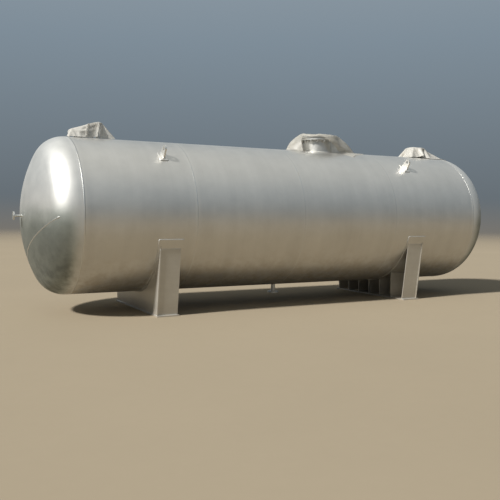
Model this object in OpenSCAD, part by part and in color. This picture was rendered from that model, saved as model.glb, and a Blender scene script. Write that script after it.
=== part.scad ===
// Horizontal pressure vessel on two welded saddles: a rolled shell in four courses, two dished
// heads, a manway, flanged nozzles, four lifting lugs, and plastic film tied over the top openings.
// Millimetres. +Z up, +X along the vessel towards its right end, -Y is the front.
// The origin is on the ground, midway between the two saddles.

/* [Vessel] */
// Inside diameter of the shell and of both heads
inner_diameter = 2000; // [1800:10:2200]
// Thickness of the rolled shell plate
shell_thickness = 12; // [8:1:20]
// Thickness of the dished heads
head_thickness = 12; // [8:1:20]
// Length of the first shell course, from the left
course_1_length = 1430; // [1380:10:1500]
// Length of the second shell course
course_2_length = 1610; // [1500:10:1800]
// Length of the third shell course
course_3_length = 1610; // [1500:10:1800]
// Length of the fourth shell course
course_4_length = 1580; // [1480:10:1800]

/* [Heads] */
// Radius of the crown, inside
crown_radius = 1800; // [1700:10:2000]
// Radius of the knuckle, inside
knuckle_radius = 340; // [250:10:400]
// Length of the straight flange between the knuckle and the weld
straight_flange = 25; // [15:5:60]

/* [Saddles] */
// Distance from the left head weld to the middle of the left saddle
left_saddle_position = 1090; // [900:10:1200]
// Distance between the middles of the two saddles
saddle_spacing = 4000; // [3600:10:4200]
// Height of the shell's lowest line above the ground
saddle_height = 250; // [200:10:350]
// Half of the angle that the web and end plates reach round the shell
saddle_half_angle = 67; // [60:1:70]
// Half of the angle that the wear plate reaches round the shell
wear_half_angle = 74; // [72:1:80]
// Thickness of the wear plate under the shell
wear_thickness = 10; // [6:1:16]
// Width of the wear plate along the vessel
wear_width = 330; // [300:10:400]
// Length of the base plate across the vessel
base_length = 1740; // [1720:10:1800]
// Width of the base plate along the vessel
base_width = 300; // [290:10:340]
// Thickness of the base plate
base_thickness = 16; // [12:1:25]
// Distance from the middle to the outer face of an end plate at its foot
end_plate_foot = 820; // [800:5:850]
// Width of the saddle's upright steelwork along the vessel
rib_width = 280; // [240:5:290]
// Thickness of the end plates
end_plate_thickness = 14; // [10:1:20]
// Thickness of the inner ribs
rib_thickness = 12; // [8:1:16]
// Number of ribs between the end plates
rib_count = 5; // [3, 5, 7]
// Thickness of the web, which closes the saddle's side towards the head
web_thickness = 14; // [10:1:20]
// Distance that the web stands out past the end plates, as room for its weld
web_lip = 10; // [4:1:10]

/* [Anchor bolts] */
// Diameter of the anchor bolt holes
anchor_hole = 28; // [24:1:34]
// Distance between anchor bolts along the vessel
anchor_spacing_x = 160; // [140:5:180]
// Distance between anchor bolts across the vessel
anchor_spacing_y = 1360; // [1320:5:1400]
// Length of the slots in the sliding right saddle
anchor_slot = 60; // [40:5:80]

/* [Manway] */
// Nominal size of the manway
manway_size = 400; // [400, 450]
// Distance from the left head weld to the manway
manway_position = 3900; // [3700:10:4100]
// Height of the flange face above the top of the shell
manway_standoff = 196; // [180:2:240]

/* [Nozzles] */
// Nominal size of the left top nozzle
left_nozzle_size = 100; // [80, 100, 125]
// Distance from the left head weld to the left top nozzle
left_nozzle_position = 180; // [170:2:190]
// Height of the left top nozzle's face above the top of the shell
left_nozzle_standoff = 80; // [70:2:120]
// Nominal size of the vent nozzle
vent_size = 25; // [15, 20, 25]
// Distance from the left head weld to the vent nozzle
vent_position = 428; // [400:2:450]
// Height of the vent nozzle's face above the top of the shell
vent_standoff = 200; // [160:2:240]
// Nominal size of the right top nozzle
right_nozzle_size = 150; // [100, 125, 150]
// Distance from the right head weld back to the right top nozzle
right_nozzle_setback = 340; // [290:10:390]
// Height of the right top nozzle's face above the top of the shell
right_nozzle_standoff = 160; // [140:2:200]
// Nominal size of the nozzle in the middle of the left head
head_nozzle_size = 20; // [15, 20, 25]
// Distance from the head to the head nozzle's face
head_nozzle_projection = 108; // [90:2:160]
// Nominal size of the drain under the shell
drain_size = 50; // [40, 50, 65]
// Distance from the left head weld to the drain
drain_position = 3120; // [3080:10:3300]
// Distance from the shell's lowest line down to the drain's face
drain_projection = 132; // [110:2:150]

/* [Lifting lugs] */
// Angle of the lugs from the top of the shell
lug_angle = 40; // [30:1:50]
// Thickness of the lug plates
lug_thickness = 20; // [16:1:30]
// Width of a lug where it meets its pad
lug_base_width = 124; // [110:2:160]
// Radius of the rounded end round the eye
lug_eye_radius = 50; // [44:1:60]
// Diameter of the eye
lug_hole = 40; // [30:1:50]
// Height of the eye above the pad
lug_eye_height = 98; // [80:2:130]
// Length of a pad round the shell
pad_length = 190; // [170:5:240]
// Width of a pad along the vessel
pad_width = 106; // [90:2:140]
// Thickness of a pad
pad_thickness = 12; // [8:1:16]

/* [Film wraps] */
// Thickness of the film covers
film_thickness = 3; // [2:0.5:4]
// Room between a flange and the film round it
film_slack = 4; // [3:1:8]
// Radius of the manway film where it meets the shell
manway_film_radius = 560; // [500:10:600]
// Width of the opening in the front of the manway film
manway_film_gap = 100; // [70:2:110]
// Direction that the opening faces, turned from the front towards the left
manway_film_turn = 38; // [20:2:50]
// Distance that the left film runs on past the vent
left_film_tail = 208; // [180:4:240]
// Distance that the right film runs on past its nozzle
right_film_tail = 360; // [320:10:400]

/* [Hidden] */
$fn = 96;
// Clearance between welded pieces that meet on a curved face
fit_gap = 0.3;
// Overshoot of a cutting solid past the face that it cuts
cut = 1;

inner_r = inner_diameter / 2;
shell_r = inner_r + shell_thickness;
axis_z = saddle_height + shell_r;
left_weld = -(left_saddle_position + saddle_spacing / 2);
left_saddle_x = -saddle_spacing / 2;
right_saddle_x = saddle_spacing / 2;

course_lengths = [course_1_length, course_2_length, course_3_length, course_4_length];
function seam_x(i) = i == 0 ? left_weld : seam_x(i - 1) + course_lengths[i - 1];
right_weld = seam_x(4);

// Height of the dished part of a head, inside, from its two radii
knuckle_centre = inner_r - knuckle_radius;
crown_centre = -sqrt(pow(crown_radius - knuckle_radius, 2) - pow(knuckle_centre, 2));
head_depth = crown_radius + crown_centre;
head_apex = straight_flange + head_depth + head_thickness;

wear_r = shell_r + fit_gap + wear_thickness;
saddle_seat_r = wear_r + fit_gap;
// Where the outer face of an end plate meets the wear plate
end_top_y = saddle_seat_r * sin(saddle_half_angle);
end_top_z = axis_z - saddle_seat_r * cos(saddle_half_angle);
end_lean = (end_top_y - end_plate_foot) / (end_top_z - base_thickness);

// Distance from the middle of a slot to the centre of either round end
slot_run = (anchor_slot - anchor_hole) / 2;

pad_r = shell_r + fit_gap + pad_thickness;
lug_seat_r = pad_r + fit_gap;

// Raised face of every flange
raised_face = 2;
// Distance that a neck stops short of its flange's face
neck_setback = 6;

// Standard flanges: nominal size, pipe diameter, pipe wall, flange diameter, bolt circle,
// bolt count, bolt hole, flange thickness and raised face diameter
FLANGES = [
    [15, 21.3, 3, 95, 65, 4, 14, 16, 45],
    [20, 26.9, 3, 105, 75, 4, 14, 18, 58],
    [25, 33.7, 3.5, 115, 85, 4, 14, 18, 68],
    [40, 48.3, 4, 150, 110, 4, 18, 18, 88],
    [50, 60.3, 4, 165, 125, 4, 18, 20, 102],
    [65, 76.1, 4, 185, 145, 4, 18, 20, 122],
    [80, 88.9, 5, 200, 160, 8, 18, 20, 138],
    [100, 114.3, 6, 220, 180, 8, 18, 22, 158],
    [125, 139.7, 6, 250, 210, 8, 18, 22, 188],
    [150, 168.3, 7, 285, 240, 8, 22, 22, 212],
    [200, 219.1, 8, 340, 295, 8, 22, 24, 268],
    [400, 426, 10, 565, 515, 16, 26, 28, 482],
    [450, 480, 10, 615, 565, 20, 26, 28, 532],
];
// A value of a flange; a size between two standard ones takes a value between theirs
function flange_value(size, column) = lookup(size, [for (row = FLANGES) [row[0], row[column]]]);
function pipe_r(size) = flange_value(size, 1) / 2;
function bore_r(size) = pipe_r(size) - flange_value(size, 2);
function flange_r(size) = flange_value(size, 3) / 2;
function bolt_circle_r(size) = flange_value(size, 4) / 2;
function bolt_count(size) = 4 * round(flange_value(size, 5) / 4);
function bolt_hole_r(size) = flange_value(size, 6) / 2;
function flange_thickness(size) = flange_value(size, 7);
function face_r(size) = flange_value(size, 8) / 2;

manway_x = left_weld + manway_position;
left_nozzle_x = left_weld + left_nozzle_position;
vent_x = left_weld + vent_position;
right_nozzle_x = right_weld - right_nozzle_setback;
drain_x = left_weld + drain_position;
head_face_x = left_weld - head_apex - head_nozzle_projection;
shell_top = axis_z + shell_r;
cover_top = shell_top + manway_standoff + flange_thickness(manway_size);

steel = "#a3a49f";
head_steel = "#aeb0ac";
saddle_steel = "#958e7d";
nozzle_steel = "#b4b5b1";
film_white = "#eceae2";

// A cylinder along X whose left end is at x
module bar(x, r, length) {
    translate([x, 0, axis_z]) rotate([0, 90, 0]) cylinder(r = r, h = length, $fn = 240);
}

// A tube along Z from z = 0 up
module tube(r_out, r_in, length) {
    difference() {
        cylinder(r = r_out, h = length, $fn = 180);
        translate([0, 0, -cut]) cylinder(r = r_in, h = length + 2 * cut, $fn = 180);
    }
}

// The holes in the shell for all necks
module neck_holes() {
    for (hole = [[manway_x, manway_size], [left_nozzle_x, left_nozzle_size],
                 [vent_x, vent_size], [right_nozzle_x, right_nozzle_size]])
        translate([hole[0], 0, axis_z]) cylinder(r = pipe_r(hole[1]) + fit_gap, h = 2 * shell_r);
    translate([drain_x, 0, -shell_r]) cylinder(r = pipe_r(drain_size) + fit_gap, h = axis_z + shell_r);
}

module shell_course(i) {
    color(steel) difference() {
        bar(seam_x(i), shell_r, course_lengths[i]);
        bar(seam_x(i) - cut, inner_r, course_lengths[i] + 2 * cut);
        neck_holes();
    }
}

// Half the outline of a dished head that is grown outwards by grow: a crown sector and a knuckle
module dish_outline(grow) {
    reach = 2 * inner_r;
    slope = knuckle_centre / -crown_centre;
    intersection() {
        square([reach, reach]);
        union() {
            intersection() {
                translate([0, crown_centre]) circle(r = crown_radius + grow, $fn = 480);
                polygon([[0, crown_centre], [slope * (reach - crown_centre), reach], [0, reach]]);
            }
            translate([knuckle_centre, 0]) circle(r = knuckle_radius + grow, $fn = 180);
            square([knuckle_centre, knuckle_centre / 4]);
        }
    }
}

// A head with its weld edge at z = 0 and its crown up
module dished_head() {
    translate([0, 0, straight_flange]) rotate_extrude($fn = 180) difference() {
        dish_outline(head_thickness);
        dish_outline(0);
    }
    tube(inner_r + head_thickness, inner_r, straight_flange);
}

module left_head() {
    color(head_steel) difference() {
        translate([left_weld, 0, axis_z]) rotate([0, -90, 0]) dished_head();
        bar(left_weld - 2 * head_apex, pipe_r(head_nozzle_size) + fit_gap, 2 * head_apex);
    }
}

module right_head() {
    color(head_steel) translate([right_weld, 0, axis_z]) rotate([0, 90, 0]) dished_head();
}

// A neck that runs up from the inside of the shell to its flange
module top_neck(x, size, standoff) {
    color(nozzle_steel) difference() {
        translate([x, 0, axis_z]) tube(pipe_r(size), bore_r(size), shell_r + standoff - neck_setback);
        bar(x - inner_r, inner_r, 2 * inner_r);
    }
}

// A flange with its face at z = 0, looking up; a bore of 0 makes it a blind cover
module flange(size, bore) {
    thickness = flange_thickness(size);
    count = bolt_count(size);
    color(nozzle_steel) translate([0, 0, -thickness]) difference() {
        union() {
            cylinder(r = flange_r(size), h = thickness - raised_face);
            cylinder(r = face_r(size), h = thickness);
        }
        if (bore > 0) translate([0, 0, -cut]) cylinder(r = bore, h = thickness + 2 * cut);
        for (i = [0:count - 1])
            rotate([0, 0, (i + 0.5) * 360 / count]) translate([bolt_circle_r(size), 0, -cut])
                cylinder(r = bolt_hole_r(size), h = thickness + 2 * cut, $fn = 32);
    }
}

module top_flange(x, size, standoff) {
    translate([x, 0, shell_top + standoff]) flange(size, pipe_r(size) + fit_gap);
}

module manway_neck() {
    top_neck(manway_x, manway_size, manway_standoff);
}

module manway_flange() {
    top_flange(manway_x, manway_size, manway_standoff);
}

module left_nozzle_neck() {
    top_neck(left_nozzle_x, left_nozzle_size, left_nozzle_standoff);
}

module left_nozzle_flange() {
    top_flange(left_nozzle_x, left_nozzle_size, left_nozzle_standoff);
}

module vent_neck() {
    top_neck(vent_x, vent_size, vent_standoff);
}

module vent_flange() {
    top_flange(vent_x, vent_size, vent_standoff);
}

module right_nozzle_neck() {
    top_neck(right_nozzle_x, right_nozzle_size, right_nozzle_standoff);
}

module right_nozzle_flange() {
    top_flange(right_nozzle_x, right_nozzle_size, right_nozzle_standoff);
}

module manway_cover() {
    translate([manway_x, 0, shell_top + manway_standoff]) mirror([0, 0, 1]) flange(manway_size, 0);
}

module head_nozzle_neck() {
    apex_x = left_weld - head_apex;
    length = head_nozzle_projection - neck_setback + head_thickness;
    color(nozzle_steel) translate([apex_x + head_thickness, 0, axis_z]) rotate([0, -90, 0])
        tube(pipe_r(head_nozzle_size), bore_r(head_nozzle_size), length);
}

module head_nozzle_flange() {
    translate([head_face_x, 0, axis_z]) rotate([0, -90, 0])
        flange(head_nozzle_size, pipe_r(head_nozzle_size) + fit_gap);
}

module drain_neck() {
    face_z = saddle_height - drain_projection;
    color(nozzle_steel) difference() {
        translate([drain_x, 0, face_z + neck_setback])
            tube(pipe_r(drain_size), bore_r(drain_size), drain_projection + shell_r);
        bar(drain_x - inner_r, inner_r, 2 * inner_r);
    }
}

module drain_flange() {
    translate([drain_x, 0, saddle_height - drain_projection]) rotate([180, 0, 0])
        flange(drain_size, pipe_r(drain_size) + fit_gap);
}

// The cutting solid of one anchor hole; run is how far its ends lie from its middle, 0 when round
module anchor_cut(run) {
    height = base_thickness + 2 * cut;
    for (end = run > 0 ? [-run, run] : [0])
        translate([end, 0, -cut]) cylinder(r = anchor_hole / 2, h = height, $fn = 48);
    if (run > 0) translate([-run, -anchor_hole / 2, -cut]) cube([2 * run, anchor_hole, height]);
}

// A base plate with four anchor holes, which are slots along the vessel when run is above 0
module saddle_base(x, run) {
    color(saddle_steel) difference() {
        translate([x - base_width / 2, -base_length / 2, 0])
            cube([base_width, base_length, base_thickness]);
        for (sx = [-1, 1], sy = [-1, 1])
            translate([x + sx * anchor_spacing_x / 2, sy * anchor_spacing_y / 2, 0]) anchor_cut(run);
    }
}

// The saddle's upright plates reach this high before the shell's seat is cut into them
seat_cut_z = end_top_z + 6 * end_plate_thickness;
// The end plates and ribs fill the saddle's width beside the web
inner_width = rib_width - web_thickness;
// Where the end plates and ribs start; side is -1 where the web is on the left and 1 on the right
function inner_start(x, side) = x - rib_width / 2 + (side < 0 ? web_thickness : 0);

// One leaning end plate on the +Y side, before the shell's seat is cut into it
module leaning_plate(x, side) {
    top = seat_cut_z;
    top_y = end_plate_foot + end_lean * (top - base_thickness);
    translate([inner_start(x, side), 0, 0]) rotate([90, 0, 90]) linear_extrude(inner_width)
        polygon([[end_plate_foot - end_plate_thickness, base_thickness], [end_plate_foot, base_thickness],
                 [top_y, top], [top_y - end_plate_thickness, top]]);
}

module saddle_end_plates(x, side) {
    color(saddle_steel) difference() {
        union() {
            leaning_plate(x, side);
            mirror([0, 1, 0]) leaning_plate(x, side);
        }
        bar(x - rib_width, saddle_seat_r, 2 * rib_width);
    }
}

// The web closes the side towards the head, from end plate to end plate and up to the seat
module saddle_web(x, side) {
    foot = end_plate_foot + web_lip;
    shoulder = foot + end_lean * (seat_cut_z - base_thickness);
    start = side < 0 ? x - rib_width / 2 : x + rib_width / 2 - web_thickness;
    color(saddle_steel) difference() {
        translate([start, 0, 0]) rotate([90, 0, 90]) linear_extrude(web_thickness)
            polygon([[-foot, base_thickness], [foot, base_thickness], [shoulder, seat_cut_z],
                     [-shoulder, seat_cut_z]]);
        bar(x - rib_width, saddle_seat_r, 2 * rib_width);
    }
}

// Upright ribs on the inner side of the web, at an even pitch between the end plates
module saddle_ribs(x, side) {
    pitch = 2 * end_plate_foot / (rib_count + 1);
    color(saddle_steel) difference() {
        for (i = [0:rib_count - 1]) {
            y = (i - (rib_count - 1) / 2) * pitch;
            translate([inner_start(x, side), y - rib_thickness / 2, base_thickness])
                cube([inner_width, rib_thickness, axis_z - shell_r / 2]);
        }
        bar(x - rib_width, saddle_seat_r, 2 * rib_width);
    }
}

// A wear plate: the part of a ring under the shell that lies within the wear angle
module saddle_wear_plate(x) {
    reach = 2 * shell_r;
    edge = reach / tan(wear_half_angle);
    color(steel) intersection() {
        difference() {
            bar(x - wear_width / 2, wear_r, wear_width);
            bar(x - wear_width / 2 - cut, shell_r + fit_gap, wear_width + 2 * cut);
        }
        translate([x - wear_width, 0, axis_z]) rotate([90, 0, 90]) linear_extrude(2 * wear_width)
            polygon([[0, 0], [-reach, -edge], [-reach, -reach], [reach, -reach], [reach, -edge]]);
    }
}

// Places a child on the shoulder of the shell above a saddle: local z runs outwards
module on_shoulder(x, side) {
    translate([x, 0, axis_z]) rotate([side * lug_angle, 0, 0]) children();
}

module lug_pad(x, side) {
    corner = 25;
    color(steel) on_shoulder(x, side) intersection() {
        rotate([0, 90, 0]) translate([0, 0, -pad_width]) tube(pad_r, shell_r + fit_gap, 2 * pad_width);
        linear_extrude(2 * shell_r) {
            square([pad_width - 2 * corner, pad_length], center = true);
            square([pad_width, pad_length - 2 * corner], center = true);
            for (sx = [-1, 1], sy = [-1, 1])
                translate([sx * (pad_width / 2 - corner), sy * (pad_length / 2 - corner)])
                    circle(r = corner, $fn = 48);
        }
    }
}

module lug(x, side) {
    eye_r = lug_seat_r + lug_eye_height;
    half = lug_base_width / 2;
    color(nozzle_steel) on_shoulder(x, side) difference() {
        translate([-lug_thickness / 2, 0, 0]) rotate([90, 0, 90]) linear_extrude(lug_thickness)
            difference() {
                union() {
                    translate([0, eye_r]) circle(r = lug_eye_radius);
                    polygon([[-half, shell_r], [half, shell_r], [lug_eye_radius, eye_r],
                             [-lug_eye_radius, eye_r]]);
                }
                translate([0, eye_r]) circle(r = lug_hole / 2);
            }
        rotate([0, 90, 0]) translate([0, 0, -lug_thickness])
            cylinder(r = lug_seat_r, h = 2 * lug_thickness, $fn = 240);
    }
}

// The manway film's form, grown outwards by grow: flat over the cover, then falling to the shell
module manway_film_form(grow) {
    rim = flange_r(manway_size) + film_slack;
    rise = cover_top - shell_top;
    step = (manway_film_radius - rim) / 3;
    translate([manway_x, 0, shell_top]) rotate_extrude()
        polygon([[0, -rise], [manway_film_radius + grow, -rise], [manway_film_radius + grow, 0],
                 [rim + 2 * step + grow, rise * 0.42 + grow], [rim + step + grow, rise * 0.74 + grow],
                 [rim + grow, rise + 1 + grow], [0, rise + 1 + grow]]);
}

module manway_film() {
    reach = 2 * manway_film_radius;
    half = manway_film_gap / 2;
    color(film_white) difference() {
        manway_film_form(film_thickness);
        manway_film_form(0);
        bar(manway_x - reach, shell_r + fit_gap, 2 * reach);
        translate([manway_x, 0, 0]) rotate([0, 0, -90 - manway_film_turn])
            linear_extrude(shell_top + manway_standoff - flange_thickness(manway_size))
                polygon([[0, 0], [reach * cos(half), reach * sin(half)], [reach, 0],
                         [reach * cos(half), -reach * sin(half)]]);
    }
}

// A disc that a film lies over, from below the shell's top up to a height above it
module film_post(x, r, height) {
    drop = shell_r / 8;
    translate([x, 0, shell_top - drop]) cylinder(r = r, h = drop + height, $fn = 40);
}

module left_film_form(grow) {
    room = film_slack + grow;
    hull() {
        film_post(left_nozzle_x, flange_r(left_nozzle_size) + room, left_nozzle_standoff + 1 + grow);
        film_post(vent_x, flange_r(vent_size) + room, vent_standoff + 1 + grow);
        film_post(vent_x + left_film_tail, room, room);
    }
}

module right_film_form(grow) {
    room = film_slack + grow;
    hull() {
        film_post(right_nozzle_x, flange_r(right_nozzle_size) + room, right_nozzle_standoff + 1 + grow);
        film_post(right_nozzle_x + right_film_tail, room, room);
    }
}

module left_film() {
    color(film_white) difference() {
        left_film_form(film_thickness);
        translate([0, 0, -cut]) left_film_form(0);
        left_film_form(0);
        bar(left_nozzle_x - shell_r, shell_r + fit_gap, 2 * shell_r);
    }
}

module right_film() {
    color(film_white) difference() {
        right_film_form(film_thickness);
        translate([0, 0, -cut]) right_film_form(0);
        right_film_form(0);
        bar(right_nozzle_x - shell_r, shell_r + fit_gap, 2 * shell_r);
    }
}

shell_course(0);  // shell_course_1
shell_course(1);  // shell_course_2
shell_course(2);  // shell_course_3
shell_course(3);  // shell_course_4
left_head();
right_head();
saddle_base(left_saddle_x, 0);  // left_saddle_base
saddle_web(left_saddle_x, -1);  // left_saddle_web
saddle_ribs(left_saddle_x, -1);  // left_saddle_ribs
saddle_end_plates(left_saddle_x, -1);  // left_saddle_end_plates
saddle_wear_plate(left_saddle_x);  // left_saddle_wear_plate
saddle_base(right_saddle_x, slot_run);  // right_saddle_base
saddle_web(right_saddle_x, 1);  // right_saddle_web
saddle_ribs(right_saddle_x, 1);  // right_saddle_ribs
saddle_end_plates(right_saddle_x, 1);  // right_saddle_end_plates
saddle_wear_plate(right_saddle_x);  // right_saddle_wear_plate
manway_neck();
manway_flange();
manway_cover();
left_nozzle_neck();
left_nozzle_flange();
vent_neck();
vent_flange();
right_nozzle_neck();
right_nozzle_flange();
head_nozzle_neck();
head_nozzle_flange();
drain_neck();
drain_flange();
lug(left_saddle_x, 1);  // front_left_lug
lug(right_saddle_x, 1);  // front_right_lug
lug(left_saddle_x, -1);  // rear_left_lug
lug(right_saddle_x, -1);  // rear_right_lug
lug_pad(left_saddle_x, 1);  // front_left_pad
lug_pad(right_saddle_x, 1);  // front_right_pad
lug_pad(left_saddle_x, -1);  // rear_left_pad
lug_pad(right_saddle_x, -1);  // rear_right_pad
manway_film();
left_film();
right_film();
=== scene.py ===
# %% [markdown]
# # A horizontal pressure vessel on two saddles
# The steel body is already there as exact solids. This script adds what a camera sees besides
# them: the finish of every plate, the weld beads, the manway's bolts, and the milky film over the
# top openings. Lengths are metres, z is up, and the vessel lies along x.

import random
from functools import partialmethod
from math import cos, exp, hypot, pi, radians, sin, sqrt
from types import SimpleNamespace

import bmesh
import bpy
from mathutils import Matrix, Vector, noise


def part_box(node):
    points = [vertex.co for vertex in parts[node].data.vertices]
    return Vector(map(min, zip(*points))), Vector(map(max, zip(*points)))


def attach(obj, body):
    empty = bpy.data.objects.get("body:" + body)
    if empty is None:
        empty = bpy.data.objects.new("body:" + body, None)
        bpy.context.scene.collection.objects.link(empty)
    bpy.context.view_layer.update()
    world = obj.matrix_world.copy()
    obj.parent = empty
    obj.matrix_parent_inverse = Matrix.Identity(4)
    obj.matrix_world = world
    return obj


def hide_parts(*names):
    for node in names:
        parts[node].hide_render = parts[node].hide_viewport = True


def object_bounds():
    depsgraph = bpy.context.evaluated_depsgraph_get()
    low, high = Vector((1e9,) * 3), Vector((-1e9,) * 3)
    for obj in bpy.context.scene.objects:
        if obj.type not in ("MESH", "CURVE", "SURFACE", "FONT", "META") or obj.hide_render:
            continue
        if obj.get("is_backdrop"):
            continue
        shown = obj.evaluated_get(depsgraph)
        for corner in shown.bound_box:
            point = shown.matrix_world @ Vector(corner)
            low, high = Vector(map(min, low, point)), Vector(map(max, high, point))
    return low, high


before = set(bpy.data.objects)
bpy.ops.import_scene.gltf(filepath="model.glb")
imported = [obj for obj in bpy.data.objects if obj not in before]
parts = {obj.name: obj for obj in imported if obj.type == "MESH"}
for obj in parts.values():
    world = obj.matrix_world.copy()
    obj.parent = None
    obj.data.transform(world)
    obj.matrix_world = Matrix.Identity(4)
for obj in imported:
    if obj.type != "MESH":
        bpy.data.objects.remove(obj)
cad_box = [list(corner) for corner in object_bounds()]
print("solids:", len(parts))

# %% [markdown]
# ## Where everything is
# A weld bead has to lie exactly on its plates, so no place is typed in twice. The shell and its
# seams come from the boxes of the courses, and each nozzle from the boxes of its neck and flange.
# Only the curve of the dished heads is given, because a box can't tell it.

# %% Measure the vessel
course_names = [f"shell_course_{i}" for i in range(1, 5)]
course_low, course_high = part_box(course_names[1])
shell_r = (course_high.y - course_low.y) / 2
axis_z = (course_high.z + course_low.z) / 2
seams = [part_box(name)[0].x for name in course_names] + [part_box(course_names[3])[1].x]
shell_top = axis_z + shell_r

crown_r, knuckle_r, knuckle_out, straight_edge = 1.812, 0.352, 0.660, 0.025
crown_back = sqrt((crown_r - knuckle_r) ** 2 - knuckle_out ** 2)
crown_edge = crown_r * knuckle_out / (crown_r - knuckle_r)
print("shell radius", round(shell_r, 4), "seams at", [round(x, 3) for x in seams])

# %% Points and directions
x_way, y_way, z_way = Vector((1, 0, 0)), Vector((0, 1, 0)), Vector((0, 0, 1))


def turns(count):
    """Equal angles all the way round."""
    return [2 * pi * i / count for i in range(count)]


def level_way(angle):
    """The level direction at an angle from +x."""
    return Vector((cos(angle), sin(angle), 0.0))


def shell_way(angle):
    """The direction out of the shell at an angle from its top, which grows towards the rear."""
    return Vector((0.0, sin(angle), cos(angle)))


def low_way(angle):
    """The direction out of the shell at an angle from its lowest line."""
    return Vector((0.0, sin(angle), -cos(angle)))


def on_shell(x, y, lift=0.0):
    """The point of the shell's upper side over (x, y), lifted straight out from the plate."""
    r = shell_r + lift
    return Vector((x, y, axis_z + sqrt(max(r * r - y * y, 0.0))))


def around_shell(x, angle, lift=0.0):
    """The point of the shell at an angle from its top."""
    r = shell_r + lift
    return Vector((x, r * sin(angle), axis_z + r * cos(angle)))


def head_depth(radial):
    """How far a head stands out past its seam at a distance from the axis."""
    if radial < crown_edge:
        return straight_edge + sqrt(crown_r ** 2 - radial ** 2) - crown_back
    return straight_edge + sqrt(max(knuckle_r ** 2 - (radial - knuckle_out) ** 2, 0.0))


# %% Measure the nozzles
def upright(name):
    """Place, radii and flange heights of a nozzle that points up or down."""
    neck_low, neck_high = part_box(name + "_neck")
    low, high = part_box(name + "_flange")
    return SimpleNamespace(x=(low.x + high.x) / 2, neck_r=(neck_high.x - neck_low.x) / 2,
                           flange_r=(high.x - low.x) / 2, under=low.z, face=high.z)


nozzles = {name: upright(name) for name in ["manway", "left_nozzle", "vent", "right_nozzle", "drain"]}
manway, left_nozzle, vent, right_nozzle, drain = nozzles.values()
cover_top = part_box("manway_cover")[1].z
print("nozzles at", {name: round(made.x, 3) for name, made in nozzles.items()})

# %% [markdown]
# ## The camera
# The camera stands where the photograph was taken: a little above the axis, well to the left, and
# tilted slightly down. Its lens and place were worked out from the vessel's own outlines.

# %% Set the camera
def put(name, data):
    """A new object in the scene."""
    made = bpy.data.objects.new(name, data)
    bpy.context.scene.collection.objects.link(made)
    return made


def tune(target, **values):
    """Sets several properties at once."""
    for key, value in values.items():
        setattr(target, key, value)


camera_data = bpy.data.cameras.new("camera")
tune(camera_data, sensor_width=36.0, lens=48.195, clip_end=200.0)
camera = put("camera", camera_data)
yaw, tilt, roll = radians(28.316), radians(3.241), radians(-0.507)
sight = Vector((sin(yaw) * cos(tilt), cos(yaw) * cos(tilt), -sin(tilt)))
level = Vector((cos(yaw), -sin(yaw), 0.0))
down = sight.cross(level)
right = cos(roll) * level + sin(roll) * down
down = cos(roll) * down - sin(roll) * level
turn = Matrix((right, -down, -sight)).transposed()
camera.matrix_world = Matrix.Translation((-5.086, -8.751, 1.332)) @ turn.to_4x4()
bpy.context.scene.camera = camera
print("camera looks along", [round(v, 3) for v in sight])

# %% [markdown]
# ## Shader maths as plain expressions
# A graph is hard to read in code. `Wire` wraps one output of a node and gives it the usual
# operators, so a mask can be written as `1 - band * 0.5`. `Finish` holds one material, or the sky,
# and makes every other node through a single method. A colour is given there as three numbers.

# %% Wires and finishes
class Wire:
    """One value that varies over a surface."""

    def __init__(self, owner, socket):
        self.owner, self.socket = owner, socket

    def maths(self, other, operation, turned=False):
        pair = {0: other, 1: self} if turned else {0: self, 1: other}
        return self.owner.node("Math", {"operation": operation}, pair)

    __add__ = __radd__ = partialmethod(maths, operation="ADD")
    __sub__ = partialmethod(maths, operation="SUBTRACT")
    __rsub__ = partialmethod(maths, operation="SUBTRACT", turned=True)
    __mul__ = __rmul__ = partialmethod(maths, operation="MULTIPLY")
    __pow__ = partialmethod(maths, operation="POWER")

    def __abs__(self):
        return self.owner.node("Math", {"operation": "ABSOLUTE"}, {0: self})


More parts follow.
